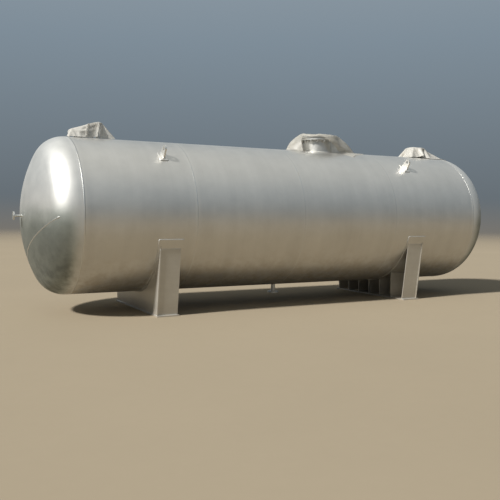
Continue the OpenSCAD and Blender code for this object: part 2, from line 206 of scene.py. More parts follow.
class Finish:
    """One material, or the sky, under construction."""

    def __init__(self, name, blocks=bpy.data.materials):
        self.block = blocks.new(name)
        self.block.use_nodes = True
        self.tree = self.block.node_tree
        self.tree.nodes.clear()

    def node(self, kind, settings=None, sockets=None, output=0):
        made = self.tree.nodes.new("ShaderNode" + kind)
        for key, value in (settings or {}).items():
            if key == "stops":
                ramp = made.color_ramp
                while len(ramp.elements) < len(value):
                    ramp.elements.new(0.5)
                for stop, (place, colour) in zip(ramp.elements, value):
                    stop.position, stop.color = place, (*colour, 1.0)
            else:
                setattr(made, key, value)
        for key, value in (sockets or {}).items():
            if isinstance(value, Wire):
                self.tree.links.new(value.socket, made.inputs[key])
            else:
                made.inputs[key].default_value = (*value, 1.0) if isinstance(value, tuple) else value
        return Wire(self, made.outputs[output] if made.outputs else None)

    def split(self, vector):
        made = self.node("SeparateXYZ", sockets={0: vector})
        return [Wire(self, made.socket.node.outputs[i]) for i in range(3)]

    def join(self, x, y, z):
        return self.node("CombineXYZ", sockets={0: x, 1: y, 2: z})

    def cloud(self, vector, scale, detail=4.0, rough=0.6):
        sockets = {"Vector": vector, "Scale": scale, "Detail": detail, "Roughness": rough}
        return self.node("TexNoise", sockets=sockets, output="Fac")

    def ramp(self, value, low, high, low_value=0.0, high_value=1.0):
        sockets = {"Value": value, "From Min": low, "From Max": high,
                   "To Min": low_value, "To Max": high_value}
        return self.node("MapRange", {"interpolation_type": "SMOOTHSTEP"}, sockets, output="Result")

    def blend(self, share, first, second, mode="MIX"):
        settings = {"data_type": "RGBA", "blend_type": mode, "clamp_factor": True}
        return self.node("Mix", settings, {0: share, 6: first, 7: second}, output=2)

    def shade(self, amount, colour):
        """The colour made lighter or darker by a wire that is about 1."""
        return self.blend(1.0, colour, self.join(amount, amount, amount), "MULTIPLY")

    def bump(self, strength, distance, height):
        sockets = {"Strength": strength, "Distance": distance, "Height": height}
        return self.node("Bump", sockets=sockets, output="Normal")

    def surface(self, **sockets):
        return self.node("BsdfPrincipled", sockets={k.replace("_", " "): v for k, v in sockets.items()})

    def close(self, shader=None, **sockets):
        """Ends a material with a shader, or with the Principled one of these sockets."""
        self.node("OutputMaterial", sockets={"Surface": shader or self.surface(**sockets)})
        return self.block


def begin(name):
    """A new finish, and the place on the solid, whole and as x, y and z."""
    mat = Finish(name)
    place = mat.node("TexCoord", output="Object")
    return mat, place, *mat.split(place)


print("finishes are ready to be written")

# %% [markdown]
# ## Pickled plate
# The shell is stainless plate, pickled after welding: dull, nearly white metal. A single grey would
# look like plastic. So noise is stretched round the shell for the marks of the rolls, larger clouds
# vary both tone and roughness, and the distance to the nearest seam gives a paler ground strip.
# Low on the plate, dust and a painted warm reflection of the floor make brown, darker patches, and
# painted shade darkens the lower half. A head's lower half gets more painted shade and a greenish
# painted reflection.

# %% Pickled plate for the shell and heads
def pickled_plate(name, tone, base_rough, streak, warm, shadow=0.0):
    """Plate with clouds, roll marks, low dust with a painted floor reflection, and painted shade low down;
    shadow paints shade on a head's lower half.
    """
    mat, place, x, y, z = begin(name)
    clouds = mat.cloud(place, 1.6, 4.0, 0.55)
    mottle = mat.cloud(place, 7.5, 5.0)
    bands = mat.cloud(mat.join(x * 7.0, y * 0.35, z * 0.35), 1.0, 4.0, 0.62)
    grain = mat.cloud(mat.join(x * 2.0, y, z), 95.0, 2.0, 0.5)
    speck = mat.cloud(place, 420.0, 1.0, 0.5)
    to_seam = abs(x - seams[0])
    for seam in seams[1:]:
        to_seam = to_seam.maths(abs(x - seam), "MINIMUM")
    ground = mat.ramp(to_seam, 0.01925, 0.055, 1.0, 0.0)
    # Dust and a painted warm reflection of the floor: darker, browner patches low on the plate.
    low_dust_and_floor_reflection = mat.ramp(z, 0.25, 1.0, 1.0, 0.0) * mat.ramp(mottle, 0.35, 0.7)
    past_weld = abs(x - (seams[0] + seams[-1]) / 2) - (seams[-1] - seams[0]) / 2
    # Painted shade with a greenish painted reflection on a head's lower half; it fades out towards the
    # seam, and shadow sets its strength.
    painted_head_shade = (mat.ramp(z + (clouds - 0.5) * 0.35, axis_z - 0.15, axis_z + 0.20, 1.0, 0.0)
            * mat.ramp(past_weld + (mottle - 0.5) * 0.05, 0.01, 0.19) * shadow)
    # Painted shade: the lower half of the plate is made darker.
    under = mat.ramp(z + (mottle - 0.5) * 0.12, axis_z - 0.45, axis_z + 0.10, 1.0, 0.0)
    tone_wire = (1.0 + (clouds - 0.5) * 0.20 + (mottle - 0.5) * 0.12 + (bands - 0.5) * streak
                 + (grain - 0.5) * 0.05 + ground * 0.03 - low_dust_and_floor_reflection * 0.10 - under * 0.08
                 - painted_head_shade * (0.7 + mottle * 0.6))
    # Low down the colour turns dust brown with a painted floor reflection, and on a head greenish as a
    # painted reflection and shade.
    dust_and_shade_colour = mat.blend(low_dust_and_floor_reflection * warm, tone, (0.44, 0.37, 0.27))
    dust_and_shade_colour = mat.blend(painted_head_shade, dust_and_shade_colour, (0.56, 0.66, 0.60))
    rough = (base_rough + (clouds - 0.5) * 0.10 + (bands - 0.5) * 0.06 + (mottle - 0.5) * 0.08
             + ground * 0.06 + low_dust_and_floor_reflection * 0.14)
    bump = mat.bump(0.10, 0.004, mottle * 0.6 + grain * 0.3 + speck * 0.25 + bands * 0.5)
    return mat.close(Base_Color=mat.shade(tone_wire, dust_and_shade_colour), Metallic=0.80, Roughness=rough,
                     Normal=bump)


shell_plate = pickled_plate("pickled_shell", (0.63, 0.62, 0.59), 0.40, 0.16, 0.5)
# The heads carry painted shade and a greenish painted reflection on their lower half.
head_plate = pickled_plate("pickled_head", (0.66, 0.66, 0.64), 0.52, 0.06, 0.4, shadow=0.56)
print("made", shell_plate.name, head_plate.name)

# %% [markdown]
# ## Saddle, nozzle and weld steel
# The saddles are the same steel but never polished, so their finish is rougher, scuffed, and warmer
# near the ground. Necks and flanges are machined and carry fine turned rings about their own axis.
# A weld bead has ripples a few millimetres apart and a faint straw tint where it was hot.

# %% Saddle steel
mat, place, x, y, z = begin("saddle_plate")
clouds = mat.cloud(place, 4.0, 5.0)
scuff = mat.cloud(mat.join(x, y, z * 6.0), 5.0, 4.0, 0.65)
grain = mat.cloud(place, 160.0, 2.0, 0.5)
foot = mat.ramp(z, 0.0, 0.22, 1.0, 0.0) * mat.ramp(clouds, 0.3, 0.6, 0.4, 1.0)
tone = 1.0 + (clouds - 0.5) * 0.28 + (scuff - 0.5) * 0.16 + (grain - 0.5) * 0.08
saddle_plate = mat.close(
    Base_Color=mat.shade(tone, mat.blend(foot * 0.55, (0.54, 0.52, 0.47), (0.42, 0.36, 0.28))),
    Metallic=mat.ramp(foot, 0.2, 1.0, 0.45, 0.3),
    Roughness=0.46 + (clouds - 0.5) * 0.16 + (scuff - 0.5) * 0.10 + foot * 0.16,
    Normal=mat.bump(0.15, 0.003, clouds * 0.6 + grain * 0.3))
print("made", saddle_plate.name)

# %% Turned nozzle steel
def turned_finish(name, centre, along_x=False):
    """Machined steel with rings about an upright axis, or about one along x."""
    mat, place, x, y, z = begin(name)
    other = (z - centre[2]) if along_x else (x - centre[0])
    away = (y * y + other * other) ** 0.5
    rings = mat.node("TexNoise", {"noise_dimensions": "1D"},
                     {"W": (away + (x if along_x else z)) * 420.0, "Scale": 1.0, "Detail": 2.0},
                     output="Fac")
    clouds = mat.cloud(place, 9.0)
    stain = mat.cloud(place, 30.0, 3.0)
    tone = 1.0 + (clouds - 0.5) * 0.22 + (rings - 0.5) * 0.10 + (stain - 0.5) * 0.10
    return mat.close(Base_Color=mat.shade(tone, (0.64, 0.64, 0.62)), Metallic=1.0,
                     Roughness=0.44 + (clouds - 0.5) * 0.14 + (rings - 0.5) * 0.08,
                     Normal=mat.bump(0.12, 0.001, rings + stain * 0.6))


turned = {key: turned_finish("turned_" + key, (nozzle.x, 0.0, 0.0)) for key, nozzle in nozzles.items()}
turned["head_nozzle"] = turned_finish("turned_head_nozzle", (0.0, 0.0, axis_z), along_x=True)
print("made", len(turned), "turned finishes")

# %% Weld metal, plain bright plate and bolts
def weld_finish(name, base_rough):
    mat, place, *_ = begin(name)
    ripple = mat.node("TexWave", {"wave_type": "RINGS", "rings_direction": "SPHERICAL"},
                      {"Vector": place, "Scale": 38.0, "Distortion": 2.0, "Detail": 2.0}, output="Fac")
    clouds = mat.cloud(place, 12.0)
    tint = mat.blend(mat.ramp(clouds, 0.45, 0.75) * 0.35, (0.60, 0.60, 0.58), (0.52, 0.45, 0.34))
    return mat.close(Base_Color=mat.shade(0.86 + clouds * 0.28, tint), Metallic=1.0,
                     Roughness=base_rough + clouds * 0.16, Normal=mat.bump(0.35, 0.001, ripple))


def bright_finish(name, colour, base_rough):
    mat, place, *_ = begin(name)
    clouds = mat.cloud(place, 14.0)
    grain = mat.cloud(place, 210.0, 2.0, 0.5)
    return mat.close(Base_Color=mat.shade(0.84 + clouds * 0.24 + grain * 0.08, colour), Metallic=1.0,
                     Roughness=base_rough + (clouds - 0.5) * 0.16,
                     Normal=mat.bump(0.12, 0.001, clouds + grain * 0.5))


weld_metal = weld_finish("weld_metal", 0.34)
dull_weld = weld_finish("dull_weld", 0.64)
lug_plate = bright_finish("lug_plate", (0.74, 0.73, 0.70), 0.42)
bolt_steel = bright_finish("bolt_steel", (0.52, 0.51, 0.48), 0.36)
print("made the finishes of welds, lugs and bolts")

# %% Give every solid its finish
def finish_for(name):
    if name.endswith("_head"):
        return head_plate
    if "saddle" in name and "wear_plate" not in name:
        return saddle_plate
    if name.endswith("_lug"):
        return lug_plate
    return next((made for key, made in turned.items() if name.startswith(key)), shell_plate)


for name, part in parts.items():
    part.data.materials.clear()
    part.data.materials.append(finish_for(name))
print("finished", len(parts), "solids")

# %% [markdown]
# ## Weld beads
# Every plate here is welded, and the photograph shows the seams as thin bright lines. A bead is a
# closed outline carried along its path: a low cap over a butt joint, a rounded triangle in a
# corner. It has to touch two surfaces at once, so each section is worked out from the real
# surfaces, and the sections are skinned together.

# %% Skin a row of sections
def skin(mesh, loops, closed=False, flip=False):
    """Faces between sections, each a closed loop of points; flip turns the two end faces over."""
    rows = [[mesh.verts.new(point) for point in loop] for loop in loops]
    for i in range(len(rows) if closed else len(rows) - 1):
        here, following = rows[i], rows[(i + 1) % len(rows)]
        for j in range(len(here)):
            k = (j + 1) % len(here)
            mesh.faces.new((here[j], here[k], following[k], following[j]))
    if not closed:
        for row, turned_over in [(rows[0], flip), (rows[-1], not flip)]:
            mesh.faces.new(list(reversed(row)) if turned_over else row)


def mesh_data(name, mesh):
    """The mesh as data, with every face turned outwards."""
    bmesh.ops.recalc_face_normals(mesh, faces=mesh.faces)
    data = bpy.data.meshes.new(name)
    mesh.to_mesh(data)
    mesh.free()
    return data


def solid_piece(name, mesh, material, smooth=True):
    """One piece that rides on the vessel."""
    data = mesh_data(name, mesh)
    for face in data.polygons:
        face.use_smooth = smooth
    data.materials.append(material)
    piece = put(name, data)
    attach(piece, "root")
    print(name, "faces:", len(data.polygons))


def wobble(place, amount):
    """1 more or less: the small unevenness of hand welding at a place."""
    return 1.0 + amount * noise.noise(place * 9.0)


def cap(centre, out, across, half_width, height):
    """Section of a butt weld: a low rounded cap, a little uneven and sunk into the plate."""
    half_width *= wobble(centre, 0.14)
    height *= wobble(centre * 2, 0.25)
    loop = []
    for i in range(7):
        share = -1.0 + i / 3.0
        rise = height * sqrt(max(1.0 - share * share, 0.0))
        loop.append(centre + across * (half_width * share) + out * (rise - 0.0006))
    return loop + [centre + across * half_width * 0.8 - out * 0.003,
                   centre - across * half_width * 0.8 - out * 0.003]


def fillet(corner, toe_a, toe_b):
    """Section of a corner weld between two toes, rounded outwards."""
    middle = (toe_a + toe_b) / 2
    outward = (middle - corner) * 0.18
    inside = corner - (middle - corner) * 0.5
    return [toe_a, toe_a.lerp(toe_b, 0.25) + outward * 0.75, middle + outward,
            toe_a.lerp(toe_b, 0.75) + outward * 0.75, toe_b, inside]


print("bead loops are ready")

# %% The five girth seams
beads = bmesh.new()
for seam in seams:
    height = 0.0028 if seam in (seams[0], seams[-1]) else 0.0014
    skin(beads, [cap(around_shell(seam, angle), shell_way(angle), x_way, 0.010, height)
                 for angle in turns(480)], closed=True)
solid_piece("girth_seams", beads, weld_metal)

# %% The long seam of each course
beads = bmesh.new()
for index, turned_by in enumerate([62.0, 78.0, 62.0, 78.0]):
    angle = radians(turned_by)
    out, across = shell_way(angle), Vector((0.0, cos(angle), -sin(angle)))
    start, end = seams[index] + 0.006, seams[index + 1] - 0.006
    skin(beads, [cap(around_shell(start + (end - start) * i / 90, angle), out, across, 0.011, 0.0028)
                 for i in range(91)])
solid_piece("length_seams", beads, weld_metal)

# %% [markdown]
# Each head is pressed from two plates, so a straight seam crosses it off its middle. Its points
# come from the head's own curve. One end is ground flush over the knuckle, so the bead stops there
# in a small knob.

# %% The plate seam of each head
def head_point(side, y, h):
    """A point on a head at y and at height h from the axis; side is -1 for the left head."""
    end = seams[0] if side < 0 else seams[-1]
    return Vector((end + side * head_depth(hypot(y, h)), y, axis_z + h))


def head_out(side, y, h, step=0.002):
    """The direction straight out of a head."""
    a = head_point(side, y + step, h) - head_point(side, y - step, h)
    b = head_point(side, y, h + step) - head_point(side, y, h - step)
    out = a.cross(b).normalized()
    return out if out.x * side > 0 else -out


beads = bmesh.new()
seam_offset, ground_end, seam_steps = 0.42, 0.915, 140
first = -sqrt(ground_end ** 2 - seam_offset ** 2)
last = sqrt((shell_r - 0.006) ** 2 - seam_offset ** 2)
for side, normal in [(-1, Vector((-0.455, -0.8905))), (1, Vector((0.8905, 0.455)))]:
    along = Vector((-normal.y, normal.x))
    loops = []
    for i in range(seam_steps + 1):
        share = (1.0 - cos(pi * i / seam_steps)) / 2
        spot = normal * seam_offset + along * (first + (last - first) * share)
        out = head_out(side, *spot)
        ahead = head_point(side, *(spot + along * 0.002)) - head_point(side, *(spot - along * 0.002))
        knob = 1.6 if 2 < i < 12 else 1.0
        loops.append(cap(head_point(side, *spot), out, ahead.cross(out).normalized(),
                         0.009 * knob ** 0.6, 0.0026 * knob))
    skin(beads, loops)
solid_piece("head_seams", beads, weld_metal)

# %% [markdown]
# Where a neck passes through the shell the joint is a saddle-shaped curve, and the bead has one toe
# on the neck and one on the shell, both worked out at each step.

# %% The bead round each neck
def ring_bead(centre, radius, outs, along, leg):
    """The corner weld round a pipe where it meets a flat flange or the head."""
    loops = []
    for out in outs:
        corner = centre + out * radius
        loops.append(fillet(corner, corner + out * leg, corner + along * leg))
    skin(beads, loops, closed=True)


beads = bmesh.new()
for nozzle, leg in zip(nozzles.values(), [0.014, 0.010, 0.008, 0.011, 0.008]):
    loops = []
    for angle in turns(96):
        way = level_way(angle)
        size = leg * wobble(x_way * nozzle.x + way, 0.12)
        corner = on_shell(nozzle.x + way.x * nozzle.neck_r, way.y * nozzle.neck_r)
        toe = on_shell(nozzle.x + way.x * (nozzle.neck_r + size), way.y * (nozzle.neck_r + size))
        loop = fillet(corner, toe, corner + z_way * size)
        if nozzle is drain:  # the same weld, turned under
            loop = [Vector((p.x, p.y, 2 * axis_z - p.z)) for p in loop]
        loops.append(loop)
    skin(beads, loops, closed=True)
for nozzle in nozzles.values():
    back, way = (nozzle.face, 1.0) if nozzle is drain else (nozzle.under, -1.0)
    ring_bead(Vector((nozzle.x, 0.0, back)), nozzle.neck_r, [level_way(a) for a in turns(72)],
              z_way * way, 0.007)
neck_low, neck_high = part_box("head_nozzle_neck")
small_r = (neck_high.y - neck_low.y) / 2
for foot_x, way, leg in [(seams[0] - head_depth(small_r), -1, 0.006),
                         (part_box("head_nozzle_flange")[1].x, 1, 0.005)]:
    ring_bead(Vector((foot_x, 0.0, axis_z)), small_r,
              [Vector((0.0, cos(a), sin(a))) for a in turns(48)], x_way * way, leg)
solid_piece("nozzle_welds", beads, dull_weld)

# %% [markdown]
# The lifting lugs stand on pads that spread their load into the shell. Each pad is welded all round
# to the shell, and each lug all round to its pad.

# %% The beads of the lugs and pads
def rounded_outline(half_x, half_arc, corner, steps, gap):
    """Points and outward directions round a rectangle with rounded corners, at most a gap apart."""
    outline = []
    for sx, sy, start in [(1, 1, 0), (-1, 1, 90), (-1, -1, 180), (1, -1, 270)]:
        centre = Vector((sx * (half_x - corner), sy * (half_arc - corner), 0.0))
        for i in range(steps + 1):
            out = level_way(radians(start + 90 * i / steps))
            outline.append((centre + out * corner, out))
    made = []
    for (point, out), (after, after_out) in zip(outline, outline[1:] + outline[:1]):
        count = max(1, int((after - point).length / gap))
        made += [(point.lerp(after, j / count), out.lerp(after_out, j / count).normalized())
                 for j in range(count)]
    return made


def outline_bead(point_at, outline, radius, leg, rise):
    """The corner weld round a plate that stands on a curved one."""
    loops = []
    for spot, out in outline:
        toe = spot + out * leg
        loops.append(fillet(point_at(spot.x, spot.y, radius), point_at(toe.x, toe.y, radius),
                            point_at(spot.x, spot.y, radius + rise)))
    skin(beads, loops, closed=True)


pad_half_arc, pad_corner, lug_half_arc, pad_face = 0.095, 0.025, 0.0605, shell_r + 0.0123
beads = bmesh.new()
for name in ["front_left", "front_right", "rear_left", "rear_right"]:
    pad_low, pad_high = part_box(name + "_pad")
    lug_low, lug_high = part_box(name + "_lug")
    middle = Vector(((pad_low.x + pad_high.x) / 2, 0.0, axis_z))
    lug_angle = radians(40.0 if name.startswith("rear") else -40.0)
    out, side = shell_way(lug_angle), Vector((0.0, cos(lug_angle), -sin(lug_angle)))

    def on_radius(x, arc, radius):
        return middle + x_way * x + side * arc + out * sqrt(radius * radius - arc * arc)

    pad_half_x, lug_half_x = (pad_high.x - pad_low.x) / 2, (lug_high.x - lug_low.x) / 2
    outline_bead(on_radius, rounded_outline(pad_half_x, pad_half_arc, pad_corner, 6, 0.012),
                 shell_r, 0.008, 0.009)
    outline_bead(on_radius, rounded_outline(lug_half_x, lug_half_arc, 0.001, 2, 0.008),
                 pad_face, 0.010, 0.010)
solid_piece("lug_welds", beads, weld_metal)

# %% [markdown]
# A saddle is cut to the shell, so its own welds show its build: a bead round the wear plate, one at
# the top and one at the foot of each end plate, and those of the web and the ribs.

# %% The beads of the saddles
def straight_bead(start, end, away_a, away_b, leg=0.006):
    """A corner weld along a straight line; the two ways are the faces that it lies on."""
    steps = max(2, int((end - start).length / 0.02))
    loops = []
    for i in range(steps + 1):
        corner = start.lerp(end, i / steps)
        size = leg * wobble(corner, 0.15)
        loops.append(fillet(corner, corner + away_a * size, corner + away_b * size))
    skin(beads, loops)


def arc_bead(x, radius, half_angle, way_x, leg=0.006):
    """A corner weld along an arc under the shell."""
    steps = max(8, int(2 * half_angle * radius / 0.02))
    loops = []
    for i in range(steps + 1):
        out = low_way(-half_angle + 2 * half_angle * i / steps)
        corner = Vector((x, 0.0, axis_z)) + out * radius
        size = leg * wobble(corner, 0.15)
        loops.append(fillet(corner, corner + x_way * (way_x * size), corner + out * size))
    skin(beads, loops)


beads = bmesh.new()
foot_y, web_lip, wear_outer = 0.820, 0.010, shell_r + 0.0103
wear_angle, top_angle = radians(74.0), radians(67.0)
rib_low, rib_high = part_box("left_saddle_ribs")
rib_half = (rib_high.y - rib_low.y - 4 * 2 * foot_y / 6) / 2
print("a rib is", round(2 * rib_half, 4), "thick")
for side_name in ["left_saddle", "right_saddle"]:
    wear_low, wear_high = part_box(side_name + "_wear_plate")
    end_low, end_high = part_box(side_name + "_end_plates")
    web_low, web_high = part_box(side_name + "_web")
    base_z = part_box(side_name + "_base")[1].z
    for edge, way in [(wear_low.x, -1), (wear_high.x, 1)]:
        arc_bead(edge, shell_r, wear_angle, way)
    for sign in (-1, 1):
        out = low_way(sign * wear_angle)
        beyond = Vector((0.0, sign * cos(wear_angle), sin(wear_angle)))
        straight_bead(Vector((wear_low.x, 0, axis_z)) + out * shell_r,
                      Vector((wear_high.x, 0, axis_z)) + out * shell_r, beyond, out)
        top = Vector((0.0, sign * wear_outer * sin(top_angle),
                      axis_z - wear_outer * cos(top_angle)))
        foot = Vector((0.0, sign * foot_y, base_z))
        lean = (top - foot).normalized()
        over = Vector((0.0, sign * cos(top_angle), sin(top_angle)))
        left_end, right_end = x_way * end_low.x, x_way * end_high.x
        straight_bead(top + left_end, top + right_end, over, -lean, 0.007)
        straight_bead(foot + left_end, foot + right_end, y_way * sign, lean)
    web_faces = (web_low.x, web_high.x)
    outer, face, inside, open_edge = ((-1, *web_faces, end_high.x) if web_low.x < end_low.x
                                      else (1, *reversed(web_faces), end_low.x))
    outward = x_way * outer
    arc_bead(face, wear_outer, top_angle, outer)
    straight_bead(Vector((face, -foot_y - web_lip, base_z)), Vector((face, foot_y + web_lip, base_z)),
                  outward, z_way)
    for i in range(-2, 3):
        for sign in (-1, 1):
            y = i * 2 * foot_y / 6 + sign * rib_half
            rib_top = axis_z - sqrt(wear_outer ** 2 - y ** 2) - 0.004
            low_in, low_out = Vector((inside, y, base_z)), Vector((open_edge, y, base_z))
            top_in, top_out = Vector((inside, y, rib_top)), Vector((open_edge, y, rib_top))
            straight_bead(low_in, low_out, y_way * sign, z_way)
            straight_bead(low_in, top_in, y_way * sign, -outward)
            straight_bead(top_in, top_out, y_way * sign, -z_way)
solid_piece("saddle_welds", beads, dull_weld)

# %% [markdown]
# ## Manway bolts
# Sixteen bolts hold the manway's cover. Their heads lie on top, under the film, and the nuts hang
# below the flange, where the film's opening shows them. A head or nut is a hexagon with its corners
# turned off, so it is built as a row of joined outlines.

# %% Bolts and nuts
def prism(mesh, centre, outlines):
    """Joins closed outlines given as (height, points) into one solid."""
    skin(mesh, [[centre + Vector((x, y, z)) for x, y in points] for z, points in outlines], flip=True)


def circle(radius, count):
    return [(radius * cos(angle), radius * sin(angle)) for angle in turns(count)]


def hexagon(across_flats, corner_cut, turned_by):
    """A hexagon drawn with 24 points; a small corner_cut draws it close to a circle."""
    points = []
    for angle in turns(24):
        flat_angle = (angle + pi / 6) % (pi / 3) - pi / 6
        radius = min(across_flats / 2 / cos(flat_angle), corner_cut)
        points.append((radius * cos(angle + turned_by), radius * sin(angle + turned_by)))
    return points


bolt_circle_r, stud_r, nut_flats, nut_height, head_height = 0.2575, 0.012, 0.036, 0.0195, 0.015
bolt_places = [(manway.x + bolt_circle_r * cos(angle), bolt_circle_r * sin(angle))
               for angle in [(i + 0.5) * pi / 8 for i in range(16)]]
nut_bottom = manway.under - nut_height
dice = random.Random(4)
bolts = bmesh.new()
for x, y in bolt_places:
    centre = Vector((x, y, 0.0))
    sunk = dice.uniform(0.0, 0.003)
    prism(bolts, centre, [(nut_bottom - 0.012 + sunk, circle(stud_r * 0.85, 16)),
                          (nut_bottom - 0.010 + sunk, circle(stud_r, 16)),
                          (cover_top + 0.001, circle(stud_r, 16))])
    for bottom, tall in [(nut_bottom, nut_height), (cover_top, head_height)]:
        turned_by = dice.uniform(0.0, 1.0)
        full = hexagon(nut_flats, 1.0, turned_by)
        cut = hexagon(nut_flats, nut_flats / 2 * 0.99, turned_by)
        prism(bolts, centre, [(bottom + 0.0003, cut), (bottom + 0.0025, full),
                              (bottom + tall - 0.0025, full), (bottom + tall, cut)])
solid_piece("manway_bolts", bolts, bolt_steel, smooth=False)

# %% [markdown]
# ## The film
# Milky plastic film is tied over the openings to keep dirt out. It is cut flat and hangs the way
# cloth does, with pleats where it goes round something, and cloth simulation gives exactly that.
# Each sheet starts in the air with its flat cut as rest shape, a few places of it are taped, and it
# falls on simple copies of the flanges, the nuts and the shell. Light that shines through it makes
# its shaded side glow.

# %% Film finish
hem_slant = 0.79


def film_finish(name, glow_share, solid_until=None):
    """Milky film; where solid_until is given, it lies double up to that x."""
    mat, place, x, y, z = begin(name)
    clouds = mat.cloud(place, 5.0)
    creases = mat.cloud(mat.join(x, y * 2.5, z * 1.5), 16.0, 5.0, 0.62)
    dirt = mat.ramp(mat.cloud(place, 9.0, 5.0, 0.65), 0.52, 0.74)
    colour = mat.blend(dirt * 0.45, (0.70, 0.69, 0.65), (0.46, 0.38, 0.29))
    if solid_until is None:
        alpha = mat.ramp(clouds, 0.3, 0.7, 0.58, 0.80)
    else:
        edge = x + abs(y) * hem_slant + (creases - 0.5) * 0.06
        alpha = mat.ramp(edge, solid_until - 0.02, solid_until + 0.02, 0.97, 0.36)
    film = mat.surface(Base_Color=mat.shade(0.94 + clouds * 0.10, colour), Metallic=0.0,
                       Roughness=0.30 + creases * 0.16, Alpha=alpha,
                       Normal=mat.bump(0.35, 0.006, creases))
    glow = mat.node("BsdfTranslucent", sockets={"Color": (0.88, 0.87, 0.84)})
    return mat.close(mat.node("MixShader", sockets={0: glow_share, 1: film, 2: glow}))


hem_x = left_nozzle.x + left_nozzle.flange_r + 0.047
manway_milk = film_finish("milky_film_manway", 0.50)
left_milk = film_finish("milky_film_left", 0.12, solid_until=hem_x)
right_milk = film_finish("milky_film_right", 0.20, solid_until=9.0)
print("made", manway_milk.name, left_milk.name, right_milk.name)

# %% Simple copies that the film falls on
def stand_in(name, loops, flip=False):
    mesh = bmesh.new()
    skin(mesh, loops, flip=flip)
    made = put(name, mesh_data(name, mesh))
    made.modifiers.new("Collision", "COLLISION")
    tune(made.collision, thickness_outer=0.004, thickness_inner=0.02, cloth_friction=12.0, damping=0.6)
    return made


def knuckle_drop(x):
    """How far the right head has curved down from the shell's radius at x."""
    past = min(max(x - seams[-1] - straight_edge, 0.0), knuckle_r)
    return knuckle_r - sqrt(knuckle_r ** 2 - past ** 2)


def fall_shell(x_from, x_to):
    """The upper part of the shell as a closed block, so that film can't get under it."""
    loops = []
    for i in range(25):
        x = x_from + (x_to - x_from) * i / 24
        arc = [around_shell(x, radians(-62 + 124 * j / 48), -knuckle_drop(x)) for j in range(49)]
        loops.append(arc + [Vector((x, 0.7, axis_z + 0.3)), Vector((x, -0.7, axis_z + 0.3))])
    return stand_in("fall_on_shell", loops)


def fall_post(name, x, radius, high_z, y=0.0, low_z=axis_z + 0.8, edge=0.008):
    """A post with a rounded top edge: a flange and its neck, or one nut."""
    outline = [(radius, low_z), (radius, high_z - edge), (radius - edge * 0.3, high_z - edge * 0.3),
               (radius - edge, high_z), (radius * 0.5, high_z)]
    return stand_in(name, [[Vector((x + px, y + py, z)) for px, py in circle(r, 48)] for r, z in outline],
                    flip=True)


print("stand-ins are ready")

# %% Let one sheet fall
def put_sheet(name, points, faces):
    data = bpy.data.meshes.new(name)
    data.from_pydata([tuple(p) for p in points], [], faces)
    return put(name, data)


def evaluated(made):
    return made.evaluated_get(bpy.context.evaluated_depsgraph_get())


def let_fall(name, start, flat, faces, taped, things, frames):
    """Cloth from start points and flat points. Taped vertices stay where they are."""
    sheet = put_sheet(name, start, faces)
    sheet.shape_key_add(name="Basis")
    key = sheet.shape_key_add(name="cut_flat")
    for vertex, (u, v) in zip(key.data, flat):
        vertex.co = Vector((u, v, 0.0))
    sheet.vertex_groups.new(name="taped").add(taped, 1.0, "REPLACE")
    cloth = sheet.modifiers.new("Cloth", "CLOTH")
    tune(cloth.settings, quality=8, mass=0.12, air_damping=2.5, tension_stiffness=25.0,
         compression_stiffness=25.0, shear_stiffness=12.0, bending_stiffness=6.0, tension_damping=8.0,
         compression_damping=8.0, bending_damping=1.0, vertex_group_mass="taped", pin_stiffness=1.0,
         rest_shape_key=key)
    tune(cloth.collision_settings, use_collision=True, distance_min=0.004, collision_quality=4,
         use_self_collision=False)
    tune(cloth.point_cache, frame_start=1, frame_end=frames)
    scene = bpy.context.scene
    scene.frame_start, scene.frame_end = 1, frames
    for step in range(1, frames + 1):
        scene.frame_set(step)
    points = [v.co.copy() for v in evaluated(sheet).data.vertices]
    scene.frame_set(1)
    for thing in [sheet, *things]:
        bpy.data.objects.remove(thing)
    moved = max((a - b).length for a, b in zip(points, start))
    print(name, "taped:", len(taped), "moved at most", round(moved, 3))
    return points


def film_piece(name, points, faces, material):
    """A thin closed sheet from the fallen points."""
    piece = put_sheet(name, points, faces)
    piece.data.materials.append(material)
    tune(piece.modifiers.new("smooth", "SUBSURF"), levels=1, render_levels=1)
    tune(piece.modifiers.new("thickness", "SOLIDIFY"), thickness=0.0012, offset=0.0)
    final = bpy.data.meshes.new_from_object(evaluated(piece))
    piece.modifiers.clear()
    piece.data = final
    for face in final.polygons:
        face.use_smooth = True
    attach(piece, "root")
    print(name, "faces:", len(final.polygons), "top", round(max(v.co.z for v in final.vertices), 3))
    return piece


print("film helpers are ready")

# %% [markdown]
# The manway's film is a round cut, wider on the right. Its middle lies on the bolt heads and its
# skirt runs down to the shell, where tape holds it. In front the skirt is cut away, so the neck and
# the nuts show. The grid is made of rings, and the columns of the skirt fan out with its depth,
# which makes both edges of the cut clean lines.

# %% The form of the manway's skirt
rim_r = manway.flange_r + 0.006
rim_z = cover_top + head_height + 0.010
sectors, skirt_columns, inner_rings, outer_rings = 128, 109, 9, 17
lies_from = 0.65  # the share of the skirt's depth at which it reaches the shell


def skirt_touch(angle):
    """How far from the manway's axis the skirt reaches the shell: far along it, close across it."""
    along = cos(angle)
    return 0.31 + 0.36 * max(along, 0.0) ** 6 + 0.23 * max(-along, 0.0) ** 4 \
        + 0.012 * noise.noise(Vector((along * 3, sin(angle) * 3, 0.5)))


def skirt_tail(angle):
    """How much of the skirt then lies on the shell: a tail on the right and a corner in front."""
    corner = (angle - radians(-47.0)) / radians(16.0)
    return 0.05 + 0.13 * max(cos(angle), 0.0) ** 8 + 0.17 * exp(-corner * corner)


